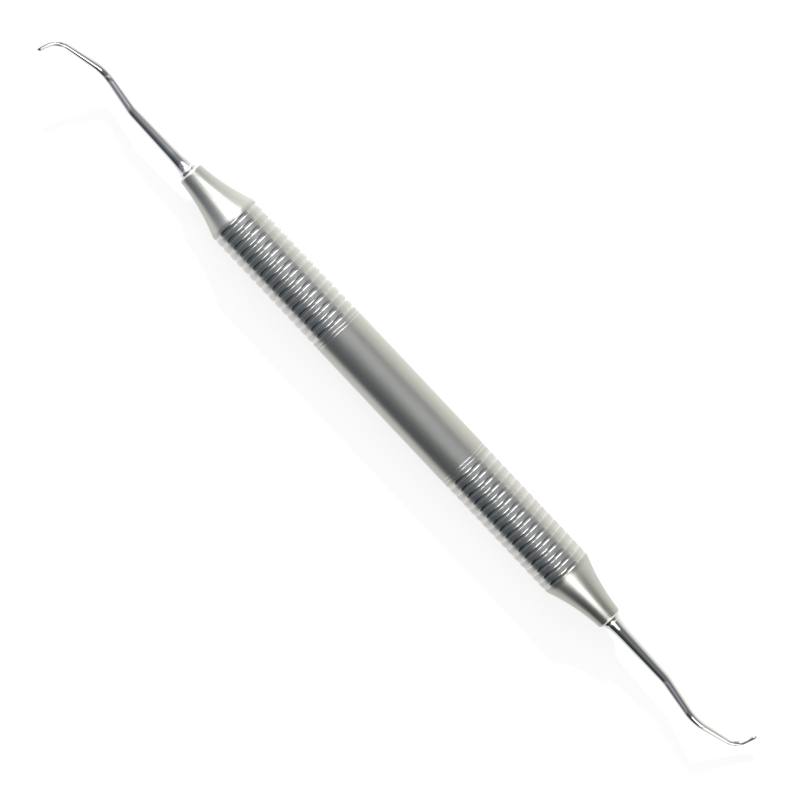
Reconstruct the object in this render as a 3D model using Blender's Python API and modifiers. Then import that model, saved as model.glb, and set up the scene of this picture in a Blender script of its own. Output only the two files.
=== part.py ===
"""Hand scaler: a double-ended universal curette. Metres, +Z up.

The instrument lies along X, resting on the plane Z = 0, with its handle centred over the origin. It is
made of a hollow handle tube with turned grip grooves, two nose cones whose spigots plug the tube, and two
working ends whose tangs sit in the cones. The working ends are a mirror-image pair, one turned half round
the handle.
"""

from math import asin, ceil, cos, pi, radians, sin, sqrt

import bmesh
import bpy
from mathutils import Vector

MM = 0.001

# Turned pieces are prisms of this many sides, whose flats lie on the true circle. One flat faces down.
SIDES = 32
FLAT_TO_CORNER = 1 / cos(pi / SIDES)
MERGE_DISTANCE = 0.001 * MM
FIT_GAP = 0.02 * MM
SHARP_EDGE = radians(40)

# Handle tube
HANDLE_RADIUS = 5.0 * MM
TUBE_LENGTH = 86.04 * MM
BORE_RADIUS = 4.25 * MM
GROOVES_PER_ZONE = 16
GROOVE_PITCH = 1.651 * MM
GROOVE_WIDTH = 0.80 * MM
GROOVE_FLOOR = 0.62 * MM
GROOVE_DEPTH = 0.08 * MM

# Nose cones, with heights measured outwards from the end of the tube
CONE_LENGTH = 11.765 * MM
SHOULDER_RADIUS = 3.3 * MM
SHOULDER_START = radians(5)
SHOULDER_STEPS = 3
CONE_SLOPE = radians(21)
FLARE_RADIUS = 38.3 * MM
FLARE_STEPS = 8
NOSE_ROUND = 0.5 * MM
NOSE_STEPS = 3
SPIGOT_LENGTH = 7.0 * MM
SPIGOT_CHAMFER = 0.4 * MM
RELIEF_WIDTH = 1.0 * MM
RELIEF_DEPTH = 0.15 * MM
LIGHTENING_RADIUS = 3.1 * MM
SOCKET_DEPTH = 9.6 * MM

# Working ends, with distances measured outwards from the nose of the cone
TANG_RADIUS = 1.4 * MM
TANG_LENGTH = 9.0 * MM
TANG_CHAMFER = 0.3 * MM
SECTION_POINTS = 12
FLARE_LENGTH = 3.0 * MM
FLARE_SPACING = 0.5 * MM
SHANK_SPACING = 1.2 * MM
BEND_STEPS = 8

# Corners of each centre line in millimetres: outwards, towards the hook's side, square to both, and the
# bend's radius. The ends are a mirror-image pair, but each is bent by hand and differs a little.
LEFT_CORNERS = (
    (0.00, 0.00, 0.0, 0.0),
    (14.80, -0.04, 0.0, 9.0),
    (23.41, -1.31, -0.8, 7.0),
    (32.60, 0.96, 3.5, 3.7),
    (33.54, 3.93, 3.6, 5.0),
    (33.72, 4.79, 3.5, 0.0),
)
RIGHT_CORNERS = (
    (0.00, 0.00, 0.0, 0.0),
    (14.80, -0.13, 0.0, 9.0),
    (23.68, -1.54, -0.8, 7.0),
    (32.83, 0.72, 3.4, 2.9),
    (33.64, 3.60, 2.9, 5.0),
    (33.95, 4.72, 2.3, 0.0),
)

# Radius of the round shank in millimetres, against distance along its centre line.
SHANK_RADII = (
    (0.0, 1.80),
    (0.4, 1.64),
    (0.9, 1.49),
    (1.7, 1.33),
    (3.0, 1.19),
    (6.0, 1.10),
    (15.0, 0.90),
    (23.5, 0.72),
    (32.0, 0.46),
)

# Blade: the last stretch of the centre line, where the round bar becomes a half-round with a flat face.
# It tapers from its heel to its toe, and the toe's roundness stops short of a point by the toe cut.
BLADE_LENGTH = 4.6 * MM
BLADE_BLEND = 1.6 * MM
BLADE_SPACING = 0.4 * MM
HEEL_WIDTH = 1.00 * MM
TOE_WIDTH = 0.80 * MM
HEEL_DEPTH = 0.78 * MM
TOE_DEPTH = 0.56 * MM
TOE_LENGTH = 0.6 * MM
TOE_SECTIONS = 5
TOE_CUT = 0.05 * MM

SATIN_COLOUR = (0.62, 0.63, 0.61)
SATIN_ROUGHNESS = 0.38
POLISHED_COLOUR = (0.70, 0.71, 0.71)
POLISHED_ROUGHNESS = 0.10


def clear_scene():
    for obj in list(bpy.data.objects):
        bpy.data.objects.remove(obj, do_unlink=True)


def new_collection(name):
    collection = bpy.data.collections.new(name)
    bpy.context.scene.collection.children.link(collection)
    return collection


def steel(name, colour, roughness):
    """A bare metal surface."""
    material = bpy.data.materials.new(name)
    material.use_nodes = True
    shader = material.node_tree.nodes["Principled BSDF"]
    shader.inputs["Base Color"].default_value = (*colour, 1)
    shader.inputs["Metallic"].default_value = 1.0
    shader.inputs["Roughness"].default_value = roughness
    return material


def end_frame(name, collection, turn):
    """An empty at the middle of the handle. Its Z points out to one end and its -Y to that end's hook."""
    frame = bpy.data.objects.new(name, None)
    frame.empty_display_size = HANDLE_RADIUS
    frame.location.z = HANDLE_RADIUS
    frame.rotation_euler = (0, -pi / 2, turn)
    collection.objects.link(frame)
    return frame


def add_object(name, mesh, material, frame, height):
    """Places a mesh on its end frame's Z axis, in the frame's own collection."""
    mesh.materials.append(material)
    obj = bpy.data.objects.new(name, mesh)
    obj.parent = frame
    obj.location.z = height
    frame.users_collection[0].objects.link(obj)
    return obj


def turned(name, outline, material, frame, height=0.0):
    """A solid of revolution about Z, from a closed outline of (radius, z) points."""
    mesh = bpy.data.meshes.new(name)
    corners = [(radius * FLAT_TO_CORNER, 0, z) for radius, z in outline]
    mesh.from_pydata(corners, [(i, (i + 1) % len(corners)) for i in range(len(corners))], [])
    obj = add_object(name, mesh, material, frame, height)
    obj.rotation_euler.z = pi / SIDES
    screw = obj.modifiers.new("Turn", "SCREW")
    screw.steps = SIDES
    screw.render_steps = SIDES
    screw.use_merge_vertices = True
    screw.merge_threshold = MERGE_DISTANCE
    screw.use_smooth_shade = True
    return obj


def arc(centre, radius, start, end, steps):
    """Points on an arc, as (radius, z), with angles measured from the outward direction towards +Z."""
    angles = [start + (end - start) * i / steps for i in range(steps + 1)]
    return [(centre[0] + radius * cos(a), centre[1] + radius * sin(a)) for a in angles]


def tube_outline():
    """Each zone's outermost groove ends at the end of the tube, so its edge hides the joint there."""
    first = (TUBE_LENGTH - GROOVE_WIDTH) / 2
    upper = []
    for i in range(GROOVES_PER_ZONE):
        centre = first - i * GROOVE_PITCH
        upper += [
            (HANDLE_RADIUS, centre + GROOVE_WIDTH / 2),
            (HANDLE_RADIUS - GROOVE_DEPTH, centre + GROOVE_FLOOR / 2),
            (HANDLE_RADIUS - GROOVE_DEPTH, centre - GROOVE_FLOOR / 2),
            (HANDLE_RADIUS, centre - GROOVE_WIDTH / 2),
        ]
    lower = [(radius, -z) for radius, z in reversed(upper)]
    return [*upper, *lower, (BORE_RADIUS, -TUBE_LENGTH / 2), (BORE_RADIUS, TUBE_LENGTH / 2)]


def cone_outline():
    """From the nose down the trumpet-shaped outside to the seat, down the spigot, and up the bores."""
    seat = FIT_GAP
    bend = (
        HANDLE_RADIUS - SHOULDER_RADIUS * cos(SHOULDER_START),
        seat - SHOULDER_RADIUS * sin(SHOULDER_START),
    )
    shoulder = arc(bend, SHOULDER_RADIUS, SHOULDER_START, CONE_SLOPE, SHOULDER_STEPS)
    foot = shoulder[-1]
    middle = (
        foot[0] + FLARE_RADIUS * cos(CONE_SLOPE),
        foot[1] + FLARE_RADIUS * sin(CONE_SLOPE),
    )
    reach = FLARE_RADIUS + NOSE_ROUND
    nose_z = CONE_LENGTH - NOSE_ROUND
    nose_slope = asin((middle[1] - nose_z) / reach)
    flare = arc(middle, FLARE_RADIUS, pi + CONE_SLOPE, pi + nose_slope, FLARE_STEPS)
    tip = (middle[0] - reach * cos(nose_slope), nose_z)
    nose = arc(tip, NOSE_ROUND, nose_slope, pi / 2, NOSE_STEPS)
    spigot = BORE_RADIUS - FIT_GAP
    waist = spigot - RELIEF_DEPTH
    waist_top = (RELIEF_WIDTH - SPIGOT_LENGTH) / 2
    socket = TANG_RADIUS + FIT_GAP
    step = CONE_LENGTH - SOCKET_DEPTH
    return [
        (socket, CONE_LENGTH),
        *reversed(nose),
        *reversed(flare[1:-1]),
        *reversed(shoulder),
        (spigot, seat),
        (spigot, waist_top),
        (waist, waist_top),
        (waist, waist_top - RELIEF_WIDTH),
        (spigot, waist_top - RELIEF_WIDTH),
        (spigot, SPIGOT_CHAMFER - SPIGOT_LENGTH),
        (spigot - SPIGOT_CHAMFER, -SPIGOT_LENGTH),
        (LIGHTENING_RADIUS, -SPIGOT_LENGTH),
        (LIGHTENING_RADIUS, step),
        (socket, step),
    ]


def centre_line(table, hand):
    """The bent bar's axis as points in its end frame. Hand is 1, or -1 for the mirror image."""
    corners = [Vector((hand * square, -hook, out)) * MM for out, hook, square, _ in table]
    path = [corners[0]]
    for before, corner, after, (*_, radius) in zip(corners, corners[1:], corners[2:], table[1:]):
        back = (before - corner).normalized()
        on = (after - corner).normalized()
        half = back.angle(on) / 2
        reach = radius * MM / sin(half)
        middle = corner + (back + on).normalized() * reach
        start = corner + back * reach * cos(half) - middle
        end = corner + on * reach * cos(half) - middle
        turns = [i / BEND_STEPS for i in range(BEND_STEPS + 1)]
        path += [middle + start.slerp(end, turn) * radius * MM for turn in turns]
    return [*path, corners[-1]]


def point_at(path, travel):
    """The point that far along a path, and the path's direction there."""
    for here, there in zip(path, path[1:]):
        step = (there - here).length
        if travel < step:
            break
        travel -= step
    direction = (there - here) / step
    return here + direction * travel, direction


def interpolate(table, x):
    """The value at x on straight lines between a table's (x, value) pairs, held level past its end."""
    for (x0, y0), (x1, y1) in zip(table, table[1:]):
        if x < x1:
            return y0 + (y1 - y0) * (x - x0) / (x1 - x0)
    return y1


def section(travel, length):
    """The bar's outline at a distance along it, as (across, towards the face): a circle on the shank, and
    on the blade a half-ellipse under a flat face. The toe draws in, and its back rises to the face."""
    radius = interpolate(SHANK_RADII, travel / MM) * MM
    along = max(travel - length + BLADE_LENGTH, 0)
    blend = min(along / BLADE_BLEND, 1)
    fullness = sqrt(1 - max(1 - (length - travel) / TOE_LENGTH, 0) ** 2)
    width = HEEL_WIDTH + (TOE_WIDTH - HEEL_WIDTH) * along / BLADE_LENGTH
    depth = HEEL_DEPTH + (TOE_DEPTH - HEEL_DEPTH) * along / BLADE_LENGTH
    points = []
    for i in range(SECTION_POINTS):
        turn = 2 * pi * i / SECTION_POINTS
        blade_across = width / 2 * fullness * cos(turn)
        blade_face = depth / 2 + min(sin(turn), 0) * depth * fullness
        across = radius * cos(turn) + (blade_across - radius * cos(turn)) * blend
        faceward = radius * sin(turn) + (blade_face - radius * sin(turn)) * blend
        points.append((across, faceward))
    return points


def stations(length):
    """Where the sections are: close on the flared base and the blade, and closest round the toe."""
    heel = length - BLADE_LENGTH
    toe = length - TOE_LENGTH
    flare = (0, FLARE_LENGTH, FLARE_SPACING)
    shank = (FLARE_LENGTH, heel, SHANK_SPACING)
    blade = (heel, toe, BLADE_SPACING)
    along = []
    for start, end, spacing in (flare, shank, blade):
        steps = ceil((end - start) / spacing)
        along += [start + (end - start) * i / steps for i in range(steps)]
    turns = [pi / 2 * i / TOE_SECTIONS for i in range(TOE_SECTIONS + 1)]
    return along + [toe + (TOE_LENGTH - TOE_CUT) * sin(turn) for turn in turns]


def circle(radius):
    turns = [2 * pi * i / SECTION_POINTS for i in range(SECTION_POINTS)]
    return [(radius * cos(turn), radius * sin(turn)) for turn in turns]


def curette_sections(path):
    """Every section from the tang's inner end to the toe, as its centre, direction and outline."""
    length = sum((there - here).length for here, there in zip(path, path[1:]))
    out = Vector((0, 0, 1))
    seat = Vector((0, 0, FIT_GAP))
    tang = [
        (out * -TANG_LENGTH, out, circle(TANG_RADIUS - TANG_CHAMFER)),
        (out * (TANG_CHAMFER - TANG_LENGTH), out, circle(TANG_RADIUS)),
        (seat, out, circle(TANG_RADIUS)),
        (seat, out, section(0, length)),
    ]
    bar = [(*point_at(path, travel), section(travel, length)) for travel in stations(length)[1:]]
    return tang + bar


def curette(name, table, hand, material, frame):
    """Tang, flared base, bent shank and blade in one bar, lofted through its sections."""
    sections = curette_sections(centre_line(table, hand))
    hook = sections[-1][1]
    side = hook.cross(sections[0][1]) * hand
    builder = bmesh.new()
    rings = []
    for centre, direction, outline in sections:
        across = (side - direction * side.dot(direction)).normalized()
        faceward = across.cross(direction) * hand
        rings.append([builder.verts.new(centre + across * x + faceward * y) for x, y in outline])
    for near, far in zip(rings, rings[1:]):
        for i in range(SECTION_POINTS):
            builder.faces.new((near[i - 1], near[i], far[i], far[i - 1]))
    builder.faces.new(rings[0])
    builder.faces.new(rings[-1])
    bmesh.ops.recalc_face_normals(builder, faces=builder.faces)
    mesh = bpy.data.meshes.new(name)
    builder.to_mesh(mesh)
    builder.free()
    mesh.shade_smooth()
    mesh.set_sharp_from_angle(angle=SHARP_EDGE)
    return add_object(name, mesh, material, frame, TUBE_LENGTH / 2 + CONE_LENGTH)


clear_scene()
scaler = new_collection("hand_scaler")
satin = steel("satin_steel", SATIN_COLOUR, SATIN_ROUGHNESS)
polished = steel("polished_steel", POLISHED_COLOUR, POLISHED_ROUGHNESS)
left_end = end_frame("left_end", scaler, 0)
right_end = end_frame("right_end", scaler, pi)
turned("handle_tube", tube_outline(), satin, right_end)
for side, end, table, hand in (
    ("left", left_end, LEFT_CORNERS, 1),
    ("right", right_end, RIGHT_CORNERS, -1),
):
    turned("cone_" + side, cone_outline(), satin, end, TUBE_LENGTH / 2)
    curette("curette_" + side, table, hand, polished, end)
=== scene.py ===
"""Hand scaler: a fine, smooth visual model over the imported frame, with its steels, floor, light and camera.

Each end is built outwards along its own Z, as in the CAD, and then turned into the row frame.
"""

from functools import reduce
from math import asin, ceil, cos, pi, radians, sin, sqrt

import bmesh
import bpy
from mathutils import Matrix, Vector


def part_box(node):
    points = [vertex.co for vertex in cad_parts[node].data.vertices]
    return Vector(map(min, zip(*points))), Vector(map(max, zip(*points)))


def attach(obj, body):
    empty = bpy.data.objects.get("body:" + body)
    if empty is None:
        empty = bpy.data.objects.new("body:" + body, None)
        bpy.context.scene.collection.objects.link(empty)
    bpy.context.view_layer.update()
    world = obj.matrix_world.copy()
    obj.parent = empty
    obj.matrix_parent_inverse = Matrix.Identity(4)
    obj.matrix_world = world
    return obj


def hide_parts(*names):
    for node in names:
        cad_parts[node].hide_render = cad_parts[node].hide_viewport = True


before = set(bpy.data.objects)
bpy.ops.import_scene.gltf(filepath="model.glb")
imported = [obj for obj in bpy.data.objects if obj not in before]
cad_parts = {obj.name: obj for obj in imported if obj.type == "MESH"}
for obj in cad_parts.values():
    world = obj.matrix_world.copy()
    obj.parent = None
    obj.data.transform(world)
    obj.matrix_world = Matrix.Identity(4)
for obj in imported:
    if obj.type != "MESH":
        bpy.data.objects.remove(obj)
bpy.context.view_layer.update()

MM = 0.001

# Sizes taken from the frame: the tube rests on Z = 0 and is centred on X = 0
HANDLE_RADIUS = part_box("handle_tube")[1][2] / 2
TUBE_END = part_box("handle_tube")[1][0]
NOSE_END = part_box("cone_right")[1][0]

# Turned outside shape, with the CAD's own dimensions
BORE_RADIUS = 4.25 * MM
GROOVES_PER_ZONE = 16
GROOVE_PITCH = 1.651 * MM
GROOVE_WIDTH = 0.80 * MM
GROOVE_FLOOR = 0.62 * MM
CONE_LENGTH = NOSE_END - TUBE_END
SEAT_GAP = 0.02 * MM
SHOULDER_RADIUS = 3.3 * MM
SHOULDER_START = radians(5)
CONE_SLOPE = radians(21)
FLARE_RADIUS = 38.3 * MM
NOSE_ROUND = 0.5 * MM

# Details finer than the CAD's: the grooves' walls and dished floors, the two fine lines that close each grip
# zone, and the chamfered mouths of the sockets. Out of sight, a short cuff stands in for each spigot, a
# little wider than the bore, so that no light passes the seat.
GROOVE_WALL = 0.035 * MM
GROOVE_DISH = 0.024 * MM
LINE_PLACES = (16.65 * MM, 16.0 * MM)
LINE_WIDTH = 0.16 * MM
LINE_FLOOR = 0.05 * MM
LINE_DEPTH = 0.02 * MM
SOCKET_RADIUS = 1.74 * MM
SOCKET_DEPTH = 1.5 * MM
MOUTH_CHAMFER = 0.10 * MM
CUFF_DEPTH = 1.0 * MM
CUFF_RADII = (4.4 * MM, 3.0 * MM)

# Working ends, in millimetres: the CAD's centre line corners (outwards, to the hook's side, square to both,
# bend radius) and its shank radii (against distance along the line), after a short plain collar
LEFT_CORNERS = (
    (0.00, 0.00, 0.0, 0.0),
    (14.80, -0.04, 0.0, 9.0),
    (23.41, -1.31, -0.8, 7.0),
    (32.60, 0.96, 3.5, 3.7),
    (33.54, 3.93, 3.6, 5.0),
    (33.72, 4.79, 3.5, 0.0),
)
RIGHT_CORNERS = (
    (0.00, 0.00, 0.0, 0.0),
    (14.80, -0.13, 0.0, 9.0),
    (23.68, -1.54, -0.8, 7.0),
    (32.83, 0.72, 3.4, 2.9),
    (33.64, 3.60, 2.9, 5.0),
    (33.95, 4.72, 2.3, 0.0),
)
SHANK_RADII = (
    (0.0, 1.72),
    (0.3, 1.72),
    (0.5, 1.69),
    (0.9, 1.50),
    (1.7, 1.33),
    (3.0, 1.19),
    (6.0, 1.10),
    (15.0, 0.90),
    (23.5, 0.72),
    (32.0, 0.46),
)
FLARE_LENGTH = 3.0 * MM
BLADE_LENGTH = 4.6 * MM
BLADE_BLEND = 1.6 * MM
HEEL_WIDTH = 1.00 * MM
TOE_WIDTH = 0.80 * MM
HEEL_DEPTH = 0.78 * MM
TOE_DEPTH = 0.56 * MM
TOE_LENGTH = 0.6 * MM
TOE_REACH = 0.995

# Fineness of the meshes
TURNED_SIDES = 112
BAR_SIDES = 40
WALL_STEPS = 5
FLOOR_STEPS = 5
ROUND_STEPS = 12
FLARE_STEPS = 40
SUPPORT = 0.03 * MM
BEND_STEPS = 24
TOE_SECTIONS = 14
FLARE_SPACING = 0.12 * MM
SHANK_SPACING = 0.25 * MM
BLADE_SPACING = 0.10 * MM
SHARP_EDGE = radians(35)

# Places of the finishes in the handle's and the working ends' lists of materials
SATIN, TURNED, GRIP = 0, 1, 2
POLISHED, GROUND = 0, 1

# Steels: light and dark colour, roughness and how far it wanders, and the heights of a blasted surface's
# pits and of the marks of the lathe
STEELS = {
    "satin_steel": ((0.57, 0.57, 0.52), (0.52, 0.52, 0.475), 0.34, 0.03, 0.0010 * MM, 0.0004 * MM),
    "turned_steel": ((0.68, 0.67, 0.645), (0.62, 0.61, 0.585), 0.11, 0.04, 0.0002 * MM, 0.0008 * MM),
    "polished_steel": ((0.80, 0.78, 0.77), (0.74, 0.725, 0.715), 0.07, 0.03, 0.0001 * MM, 0.0),
    "ground_steel": ((0.62, 0.62, 0.61), (0.28, 0.28, 0.29), 0.24, 0.08, 0.0010 * MM, 0.0020 * MM),
    "grip_steel": ((0.62, 0.62, 0.58), (0.57, 0.57, 0.53), 0.29, 0.03, 0.0010 * MM, 0.0100 * MM),
}

# Noises: scale, detail and roughness. The marks of the lathe are drawn out round the handle, and the shades
# are the noise at which a steel has its dark and its light colour.
CLOUDS = (260.0, 4.0, 0.6)
PITS = (9000.0, 3.0, 0.65)
MARKS = (14000.0, 3.0, 0.7)
MARKS_STRETCH = (1.0, 0.02, 0.02)
SHADES = (0.3, 0.7)

# The pale floor: its width, how much light it throws back, and how much it gives
FLOOR_SIZE = 12
FLOOR_SHADE = 0.15
FLOOR_GLOW = 0.815

# The studio as the steel sees it: its colour against the angle in degrees from overhead, negative towards
# the front. There is a dark front wall and a light back wall, with the pale table below them.
WALLS = (
    (-180, (0.870, 0.870, 0.865)),
    (-125, (0.860, 0.860, 0.855)),
    (-103, (0.810, 0.810, 0.805)),
    (-89, (0.014, 0.020, 0.023)),
    (-66, (0.028, 0.040, 0.045)),
    (-50, (0.056, 0.073, 0.080)),
    (-36, (0.080, 0.095, 0.101)),
    (-22, (0.115, 0.130, 0.136)),
    (-10, (0.215, 0.231, 0.240)),
    (2, (0.200, 0.212, 0.222)),
    (24, (0.180, 0.189, 0.201)),
    (42, (0.215, 0.224, 0.230)),
    (61, (0.350, 0.360, 0.358)),
    (67, (0.700, 0.705, 0.680)),
    (93, (0.810, 0.810, 0.775)),
    (98, (0.980, 0.980, 0.940)),
    (130, (1.090, 1.085, 1.050)),
    (180, (0.870, 0.870, 0.865)),
)

# What is added to the walls, placed by the X and Y of the direction to it. A rise is where a light starts
# and where it is full, and a band is its two sides and how soft they are. From the left come a faint glow
# and, between overhead and the back wall, a haze, with one gap in both.
GLOW_COLOUR = (0.185, 0.190, 0.230)
GLOW_RISE = (0.08, 0.0)
HAZE_COLOUR = (1.02, 1.02, 1.14)
HAZE_RISE = (0.05, -0.08)
HAZE_BAND = (0.06, 0.66, 0.08)
GAP_BAND = (-0.27, -0.07, 0.04)
GAP_DEPTH = 0.9

# The room's two pale ends
ENDS_COLOUR = (1.00, 1.00, 0.99)
LEFT_END_RISE = (-0.45, -0.90)
LEFT_END_STRENGTH = 0.42
RIGHT_END_RISE = (0.75, 0.84)
RIGHT_END_STRENGTH = 0.65

# Panes of the soft boxes overhead: strength, the X and Y of the direction to them (from, to, from, to) and
# the softness of their long edges. They start at the horizon.
PANES = (
    (2.7, -0.80, -0.29, 0.15, 0.60, 0.03),
    (2.7, -0.80, -0.43, -0.28, -0.04, 0.02),
    (2.0, -0.78, -0.69, -0.40, 0.60, 0.04),
    (2.9, 0.35, 0.74, -0.32, 0.17, 0.04),
    (3.2, 0.73, 0.80, -0.42, 0.30, 0.05),
    (1.6, -1.10, -0.85, -1.10, 1.10, 0.04),
    (1.6, 0.88, 1.10, -1.10, 1.10, 0.04),
)
PANE_END = 0.04
HORIZON = (0.0, 0.1)

# The picture's right and up, level with the table, on the row's X and Y
PICTURE_TURN = radians(46.737)
PICTURE_RIGHT = Vector((cos(PICTURE_TURN), sin(PICTURE_TURN)))
PICTURE_UP = Vector((-sin(PICTURE_TURN), cos(PICTURE_TURN)))

# The key light comes from the top of the picture, at that height above the table
KEY_STRENGTH = 4.1
KEY_WIDTH = radians(2.5)
KEY_HEIGHT = radians(31)

# The camera has a long lens and stands a little off square, at that height above the handle's axis
LENS = 156.42
SENSOR = 36.0
CLIPS = (0.05, 20)
CAMERA_HEIGHT = 620 * MM
CAMERA_TILT = radians(2.664)
CAMERA_AIM = Vector((0.35 * MM, -0.5 * MM, HANDLE_RADIUS))


# ---------------------------------------------------------------- shapes


def end_matrix(side):
    """Turns an end's own frame (Z outwards along the handle, -Y to its hook) into the row frame."""
    turn = {"left": 0, "right": pi}[side]
    return (
        Matrix.Translation((0, 0, HANDLE_RADIUS))
        @ Matrix.Rotation(turn, 4, "Z")
        @ Matrix.Rotation(-pi / 2, 4, "Y")
    )


def finished(name, builder, matrix, materials, node):
    """Turns a bmesh into a smooth piece in the row frame, which rides on the root and replaces a node."""
    bmesh.ops.recalc_face_normals(builder, faces=builder.faces)
    mesh = bpy.data.meshes.new(name)
    builder.to_mesh(mesh)
    builder.free()
    mesh.transform(matrix)
    mesh.shade_smooth()
    mesh.set_sharp_from_angle(angle=SHARP_EDGE)
    for material in materials:
        mesh.materials.append(material)
    piece = bpy.data.objects.new(name, mesh)
    bpy.context.scene.collection.objects.link(piece)
    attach(piece, "root")
    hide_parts(node)


def ease(t):
    t = min(max(t, 0), 1)
    return t * t * (3 - 2 * t)


def arc(centre, radius, start, end, steps):
    angles = [start + (end - start) * i / steps for i in range(steps + 1)]
    return [(centre[0] + radius * cos(a), centre[1] + radius * sin(a)) for a in angles]


def skin(builder, near, far, finish):
    """A band of faces between two rings."""
    for i in range(len(near)):
        face = builder.faces.new((near[i - 1], near[i], far[i], far[i - 1]))
        face.material_index = finish


def lathe(outline, finishes):
    """A closed outline of (radius, z) turned about Z, with a finish for each stretch of it."""
    builder = bmesh.new()
    turns = [2 * pi * i / TURNED_SIDES for i in range(TURNED_SIDES)]
    rings = [
        [builder.verts.new((radius * cos(t), radius * sin(t), z)) for t in turns]
        for radius, z in outline
    ]
    for near, far, finish in zip(rings, rings[1:] + rings[:1], finishes):
        skin(builder, near, far, finish)
    return builder


def groove(width, floor, depth, dish):
    """Half of a turned groove, as (radius, distance from its middle). A point on the land keeps the land
    flat, an S-shaped wall goes down by the depth, and the floor is dished below that. The foot of the wall
    leans as much as the edge of the dish, so there is no corner between them."""
    run = (width - floor) / 2
    lean = 4 * dish / floor * run
    half = [(HANDLE_RADIUS, width / 2 + SUPPORT)]
    for i in range(WALL_STEPS + 1):
        t = i / WALL_STEPS
        drop = depth * ease(t) - lean * t * t * (1 - t)
        half.append((HANDLE_RADIUS - drop, width / 2 - run * t))
    for i in range(1, FLOOR_STEPS + 1):
        out = 1 - i / (FLOOR_STEPS + 0.5)
        half.append((HANDLE_RADIUS - depth - dish * (1 - out * out), floor / 2 * out))
    return half


def handle_outline():
    """The tube's outside from its upper end to its lower one, then its bore, and each stretch's finish."""
    first = TUBE_END - GROOVE_WIDTH / 2
    wide = groove(GROOVE_WIDTH, GROOVE_FLOOR, GROOVE_WALL, GROOVE_DISH)
    fine = groove(LINE_WIDTH, LINE_FLOOR, LINE_DEPTH, 0)
    cuts = [(first - i * GROOVE_PITCH, wide) for i in range(GROOVES_PER_ZONE)]
    cuts += [(place, fine) for place in LINE_PLACES]
    upper = []
    finishes = []
    for i, (middle, half) in enumerate(cuts):
        upper += [(radius, middle + z) for radius, z in half]
        upper += [(radius, middle - z) for radius, z in reversed(half)]
        before = GRIP if i < GROOVES_PER_ZONE else SATIN
        after = GRIP if i < GROOVES_PER_ZONE - 1 else SATIN
        finishes += [before, *[TURNED] * (2 * len(half) - 3), after, after]
    # The first groove starts at the tube's end, so the land outside it goes
    del upper[0], finishes[0]
    lower = [(radius, -z) for radius, z in reversed(upper)]
    outline = [*upper, *lower, (BORE_RADIUS, -TUBE_END), (BORE_RADIUS, TUBE_END)]
    return outline, [*finishes, *reversed(finishes[:-1]), SATIN, SATIN, SATIN]


def cone_outline():
    """From the bottom of its socket over the nose and down the trumpet-shaped outside to the cuff. It closes
    along a slanted wall inside."""
    bend = (
        HANDLE_RADIUS - SHOULDER_RADIUS * cos(SHOULDER_START),
        SEAT_GAP - SHOULDER_RADIUS * sin(SHOULDER_START),
    )
    shoulder = arc(bend, SHOULDER_RADIUS, SHOULDER_START, CONE_SLOPE, ROUND_STEPS)
    foot = shoulder[-1]
    middle = (
        foot[0] + FLARE_RADIUS * cos(CONE_SLOPE),
        foot[1] + FLARE_RADIUS * sin(CONE_SLOPE),
    )
    reach = FLARE_RADIUS + NOSE_ROUND
    nose_z = CONE_LENGTH - NOSE_ROUND
    nose_slope = asin((middle[1] - nose_z) / reach)
    flare = arc(middle, FLARE_RADIUS, pi + CONE_SLOPE, pi + nose_slope, FLARE_STEPS)
    tip = (middle[0] - reach * cos(nose_slope), nose_z)
    nose = arc(tip, NOSE_ROUND, nose_slope, pi / 2, ROUND_STEPS)
    return [
        (SOCKET_RADIUS, CONE_LENGTH - SOCKET_DEPTH),
        (SOCKET_RADIUS, CONE_LENGTH - MOUTH_CHAMFER),
        (SOCKET_RADIUS + MOUTH_CHAMFER, CONE_LENGTH),
        *reversed(nose),
        *reversed(flare[1:-1]),
        *reversed(shoulder),
        (CUFF_RADII[0], SEAT_GAP),
        (CUFF_RADII[0], SEAT_GAP - CUFF_DEPTH),
        (CUFF_RADII[1], SEAT_GAP - CUFF_DEPTH),
    ]


def centre_line(table, hand):
    """The bent bar's axis as points in its end frame. Hand is 1, or -1 for the mirror image."""
    corners = [Vector((hand * square, -hook, out)) * MM for out, hook, square, _ in table]
    path = [corners[0]]
    for before, corner, after, (*_, radius) in zip(corners, corners[1:], corners[2:], table[1:]):
        back = (before - corner).normalized()
        on = (after - corner).normalized()
        half = back.angle(on) / 2
        reach = radius * MM / sin(half)
        middle = corner + (back + on).normalized() * reach
        start = corner + back * reach * cos(half) - middle
        end = corner + on * reach * cos(half) - middle
        turns = [i / BEND_STEPS for i in range(BEND_STEPS + 1)]
        path += [middle + start.slerp(end, turn) * radius * MM for turn in turns]
    return [*path, corners[-1]]


def point_at(path, travel):
    """The point that far along a path, and the path's direction there."""
    for here, there in zip(path, path[1:]):
        step = (there - here).length
        if travel < step:
            break
        travel -= step
    direction = (there - here) / step
    return here + direction * travel, direction


def smooth_value(table, x):
    """The value at x on a smooth curve through a table's (x, value) pairs, held level past its end."""
    last = len(table) - 2
    k = next((k for k in range(last) if x < table[k + 1][0]), last)
    x0, y0 = table[k]
    x1, y1 = table[k + 1]
    xa, ya = table[max(k - 1, 0)]
    xb, yb = table[min(k + 2, last + 1)]
    t = min(max((x - x0) / (x1 - x0), 0), 1)
    slope0 = (y1 - ya) / (x1 - xa) * (x1 - x0)
    slope1 = (yb - y0) / (xb - x0) * (x1 - x0)
    rise = ease(t)
    return (1 - rise) * y0 + rise * y1 + t * (1 - t) ** 2 * slope0 - t * t * (1 - t) * slope1


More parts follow.
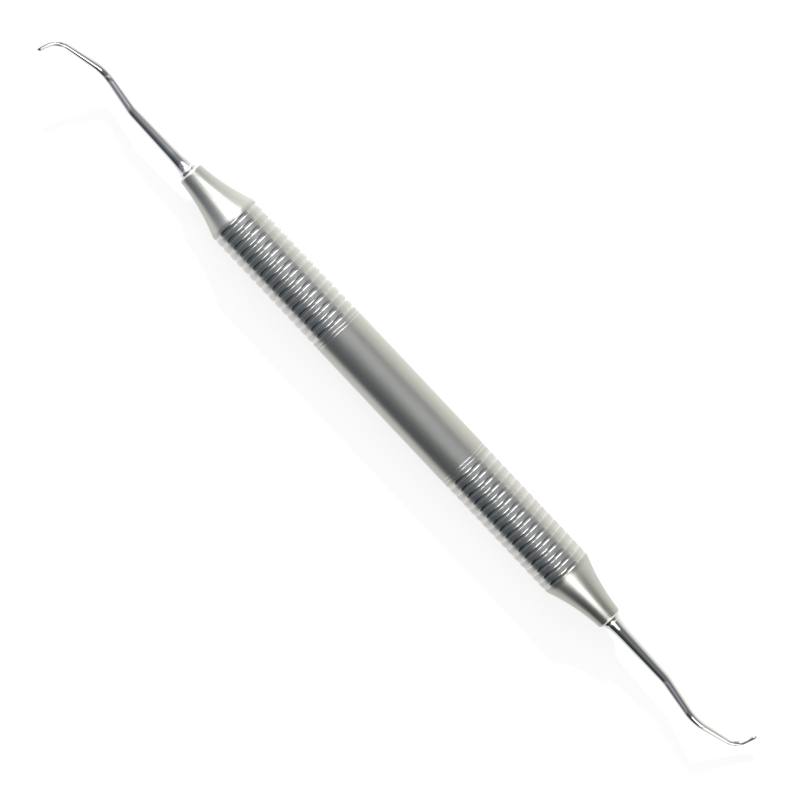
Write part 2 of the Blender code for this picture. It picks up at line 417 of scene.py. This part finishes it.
def section(travel, length):
    """The bar's outline at a distance along it, as (across, towards the face): a circle on the shank, and
    on the blade a half-ellipse under a flat face. The toe draws in, and its back rises to the face."""
    radius = smooth_value(SHANK_RADII, travel / MM) * MM
    along = max(travel - length + BLADE_LENGTH, 0)
    blend = ease(along / BLADE_BLEND)
    fullness = sqrt(max(1 - max(1 - (length - travel) / TOE_LENGTH, 0) ** 2, 0))
    width = HEEL_WIDTH + (TOE_WIDTH - HEEL_WIDTH) * along / BLADE_LENGTH
    depth = HEEL_DEPTH + (TOE_DEPTH - HEEL_DEPTH) * along / BLADE_LENGTH
    points = []
    for i in range(BAR_SIDES):
        turn = 2 * pi * i / BAR_SIDES
        blade_across = width / 2 * fullness * cos(turn)
        blade_face = depth / 2 + min(sin(turn), 0) * depth * fullness
        across = radius * cos(turn) + (blade_across - radius * cos(turn)) * blend
        faceward = radius * sin(turn) + (blade_face - radius * sin(turn)) * blend
        points.append((across, faceward))
    return points


def curette(table, hand):
    """Flared base, bent shank and blade in one bar, lofted through its sections from inside the socket."""
    path = centre_line(table, hand)
    length = sum((there - here).length for here, there in zip(path, path[1:]))
    heel = length - BLADE_LENGTH
    toe = length - TOE_LENGTH
    travels = []
    for start, end, spacing in (
        (0, FLARE_LENGTH, FLARE_SPACING),
        (FLARE_LENGTH, heel, SHANK_SPACING),
        (heel, toe, BLADE_SPACING),
    ):
        steps = ceil((end - start) / spacing)
        travels += [start + (end - start) * i / steps for i in range(steps)]
    turns = [pi / 2 * i / TOE_SECTIONS for i in range(TOE_SECTIONS + 1)]
    travels += [toe + TOE_LENGTH * TOE_REACH * sin(turn) for turn in turns]
    out = Vector((0, 0, 1))
    base = section(0, length)
    sections = [(out * -SOCKET_DEPTH, out, base), (out * -SUPPORT, out, base)]
    sections += [(*point_at(path, travel), section(travel, length)) for travel in travels]
    side = (path[-1] - path[-2]).cross(out) * hand
    builder = bmesh.new()
    rings = []
    for centre, direction, outline in sections:
        across = (side - direction * side.dot(direction)).normalized()
        faceward = across.cross(direction) * hand
        rings.append([builder.verts.new(centre + across * x + faceward * y) for x, y in outline])
    first_ground = len(rings) - sum(travel > heel for travel in travels)
    for k, (near, far) in enumerate(zip(rings, rings[1:])):
        skin(builder, near, far, GROUND if k >= first_ground else POLISHED)
    builder.faces.new(rings[0])
    builder.faces.new(rings[-1])
    return builder


# ---------------------------------------------------------------- nodes


def add(tree, kind, **values):
    """A node, with its properties and named inputs set. A socket given as a value is linked."""
    node = tree.nodes.new(kind)
    for name, value in values.items():
        if hasattr(node, name):
            setattr(node, name, value)
        else:
            connect(tree, value, node.inputs[name.replace("_", " ")])
    return node


def connect(tree, value, socket):
    if isinstance(value, bpy.types.NodeSocket):
        tree.links.new(value, socket)
    else:
        socket.default_value = value


def maths(tree, operation, *inputs, clamp=False):
    node = tree.nodes.new("ShaderNodeMath")
    node.operation = operation
    node.use_clamp = clamp
    for socket, value in zip(node.inputs, inputs):
        connect(tree, value, socket)
    return node.outputs[0]


def product(tree, *factors):
    return reduce(lambda total, factor: maths(tree, "MULTIPLY", total, factor), factors)


def ramp(tree, factor, stops):
    """A colour ramp through (position, colour) stops."""
    stops = list(stops)
    node = tree.nodes.new("ShaderNodeValToRGB")
    elements = node.color_ramp.elements
    while len(elements) < len(stops):
        elements.new(1)
    for element, (position, colour) in zip(elements, stops):
        element.position = position
        element.color = (*colour, 1)
    tree.links.new(factor, node.inputs[0])
    return node.outputs[0]


def tint(tree, strength, colour):
    """Black at a strength of 0, and the colour at 1 and above."""
    return ramp(tree, strength, ((0, (0, 0, 0)), (1, colour)))


def smoothstep(tree, value, low, high):
    node = tree.nodes.new("ShaderNodeMapRange")
    node.interpolation_type = "SMOOTHSTEP"
    tree.links.new(value, node.inputs[0])
    node.inputs[1].default_value = low
    node.inputs[2].default_value = high
    return node.outputs[0]


def window(tree, value, low, high, soft):
    """One between low and high, and nought outside, with edges twice as wide as soft."""
    rise = smoothstep(tree, value, low - soft, low + soft)
    fall = smoothstep(tree, value, high + soft, high - soft)
    return product(tree, rise, fall)


# ---------------------------------------------------------------- steels

def noise(tree, place, scale, detail, roughness):
    return add(
        tree, "ShaderNodeTexNoise", Vector=place, Scale=scale, Detail=detail, Roughness=roughness
    ).outputs["Fac"]


def steel(name, light, dark, roughness, spread, grain, lines):
    """Bare stainless steel, with the values of one row of STEELS."""
    material = bpy.data.materials.new(name)
    material.use_nodes = True
    tree = material.node_tree
    shader = tree.nodes["Principled BSDF"]
    shader.inputs["Metallic"].default_value = 1.0
    place = add(tree, "ShaderNodeTexCoord").outputs["Object"]
    clouds = noise(tree, place, *CLOUDS)
    pits = noise(tree, place, *PITS)
    stretched = add(tree, "ShaderNodeMapping", Vector=place, Scale=MARKS_STRETCH).outputs["Vector"]
    marks = noise(tree, stretched, *MARKS)
    shade = product(tree, maths(tree, "ADD", clouds, pits), 0.5)
    colour = ramp(tree, shade, zip(SHADES, (dark, light)))
    tree.links.new(colour, shader.inputs["Base Color"])
    wander = maths(tree, "MULTIPLY_ADD", shade, 2 * spread, roughness - spread, clamp=True)
    tree.links.new(wander, shader.inputs["Roughness"])
    pitted = add(tree, "ShaderNodeBump", Height=pits, Distance=grain).outputs["Normal"]
    normal = add(tree, "ShaderNodeBump", Height=marks, Distance=lines, Normal=pitted)
    tree.links.new(normal.outputs["Normal"], shader.inputs["Normal"])
    return material


# ---------------------------------------------------------------- stage

def build_floor():
    """Glows nearly white, so the key light only adds a pale, soft shadow. The steel mirrors the world's own
    lower half in its place."""
    bpy.ops.mesh.primitive_plane_add(size=FLOOR_SIZE)
    floor = bpy.context.object
    floor.name = "floor"
    floor.visible_glossy = False
    material = bpy.data.materials.new("pale_floor")
    material.use_nodes = True
    shader = material.node_tree.nodes["Principled BSDF"]
    shader.inputs["Base Color"].default_value = (FLOOR_SHADE, FLOOR_SHADE, FLOOR_SHADE, 1)
    shader.inputs["Roughness"].default_value = 1.0
    shader.inputs["Specular IOR Level"].default_value = 0.0
    shader.inputs["Emission Color"].default_value = (1, 1, 1, 1)
    shader.inputs["Emission Strength"].default_value = FLOOR_GLOW
    floor.data.materials.append(material)


def pane(tree, x, y, strength, low_x, high_x, low_y, high_y, soft):
    along = window(tree, x, low_x, high_x, PANE_END)
    across = window(tree, y, low_y, high_y, soft)
    return product(tree, along, strength, across)


def build_world():
    """A soft studio: grey overhead, a dark front wall, light behind and below, a glow and a haze from the
    left, pale ends, and soft boxes above both ends of the handle, cut off at the horizon."""
    world = bpy.data.worlds.new("studio")
    bpy.context.scene.world = world
    world.use_nodes = True
    tree = world.node_tree
    way = add(tree, "ShaderNodeTexCoord").outputs["Generated"]
    x, y, z = add(tree, "ShaderNodeSeparateXYZ", Vector=way).outputs

    # The walls' ramp runs from straight down, by way of the front and overhead, to straight down again
    lean = maths(tree, "ARCTAN2", y, z)
    turn = maths(tree, "MULTIPLY_ADD", lean, 0.5 / pi, 0.5)
    walls = ramp(tree, turn, [(0.5 + degrees / 360, colour) for degrees, colour in WALLS])

    gap = maths(tree, "MULTIPLY_ADD", window(tree, x, *GAP_BAND), -GAP_DEPTH, 1.0)
    glow = product(tree, smoothstep(tree, x, *GLOW_RISE), gap)
    haze = product(tree, smoothstep(tree, x, *HAZE_RISE), window(tree, y, *HAZE_BAND), gap)
    left_end = product(tree, smoothstep(tree, x, *LEFT_END_RISE), LEFT_END_STRENGTH)
    right_end = product(tree, smoothstep(tree, x, *RIGHT_END_RISE), RIGHT_END_STRENGTH)
    ends = maths(tree, "MAXIMUM", left_end, right_end)
    panes = [pane(tree, x, y, *values) for values in PANES]
    brightest = reduce(lambda one, other: maths(tree, "MAXIMUM", one, other), panes)

    total = walls
    for light in (
        tint(tree, glow, GLOW_COLOUR),
        tint(tree, haze, HAZE_COLOUR),
        tint(tree, ends, ENDS_COLOUR),
        product(tree, brightest, smoothstep(tree, z, *HORIZON)),
    ):
        step = add(tree, "ShaderNodeVectorMath", operation="ADD")
        tree.links.new(total, step.inputs[0])
        tree.links.new(light, step.inputs[1])
        total = step.outputs[0]
    tree.links.new(total, tree.nodes["Background"].inputs["Color"])


def build_light():
    """A key light from the top of the picture, seen by the floor and not mirrored in the steel."""
    sun = bpy.data.lights.new("key", "SUN")
    sun.energy = KEY_STRENGTH
    sun.angle = KEY_WIDTH
    lamp = bpy.data.objects.new("key", sun)
    lamp.visible_glossy = False
    bpy.context.scene.collection.objects.link(lamp)
    way = Vector((*PICTURE_UP * cos(KEY_HEIGHT), sin(KEY_HEIGHT)))
    lamp.rotation_mode = "QUATERNION"
    lamp.rotation_quaternion = way.to_track_quat("Z", "Y")


def build_camera():
    """Above the table, looking down, with the handle running from the upper left to the lower right."""
    data = bpy.data.cameras.new("camera")
    data.sensor_width = SENSOR
    data.lens = LENS
    data.clip_start, data.clip_end = CLIPS
    camera = bpy.data.objects.new("camera", data)
    bpy.context.scene.collection.objects.link(camera)
    across = Vector((cos(CAMERA_TILT), 0, sin(CAMERA_TILT)))
    back = Vector((-sin(CAMERA_TILT), 0, cos(CAMERA_TILT)))
    side = Vector((0, 1, 0))
    right = across * PICTURE_RIGHT.x + side * PICTURE_RIGHT.y
    up = across * PICTURE_UP.x + side * PICTURE_UP.y
    place = CAMERA_AIM + back * (CAMERA_HEIGHT / cos(CAMERA_TILT))
    rotation = Matrix((right, up, back)).transposed().to_4x4()
    camera.matrix_world = Matrix.Translation(place) @ rotation
    bpy.context.scene.camera = camera


# ---------------------------------------------------------------- the scaler and its scene

steels = {name: steel(name, *values) for name, values in STEELS.items()}
tube_steels = [steels["satin_steel"], steels["turned_steel"], steels["grip_steel"]]
cone_steels = [steels["satin_steel"]]
end_steels = [steels["polished_steel"], steels["ground_steel"]]

tube = lathe(*handle_outline())
finished("handle", tube, end_matrix("right"), tube_steels, "handle_tube")
for side, table, hand in (("left", LEFT_CORNERS, 1), ("right", RIGHT_CORNERS, -1)):
    seat = end_matrix(side) @ Matrix.Translation((0, 0, TUBE_END))
    nose = end_matrix(side) @ Matrix.Translation((0, 0, NOSE_END))
    outline = cone_outline()
    cone = lathe(outline, [SATIN] * len(outline))
    finished("nose_cone_" + side, cone, seat, cone_steels, "cone_" + side)
    end = curette(table, hand)
    finished("working_end_" + side, end, nose, end_steels, "curette_" + side)

build_floor()
build_world()
build_light()
build_camera()
bpy.context.scene.view_settings.view_transform = "Standard"
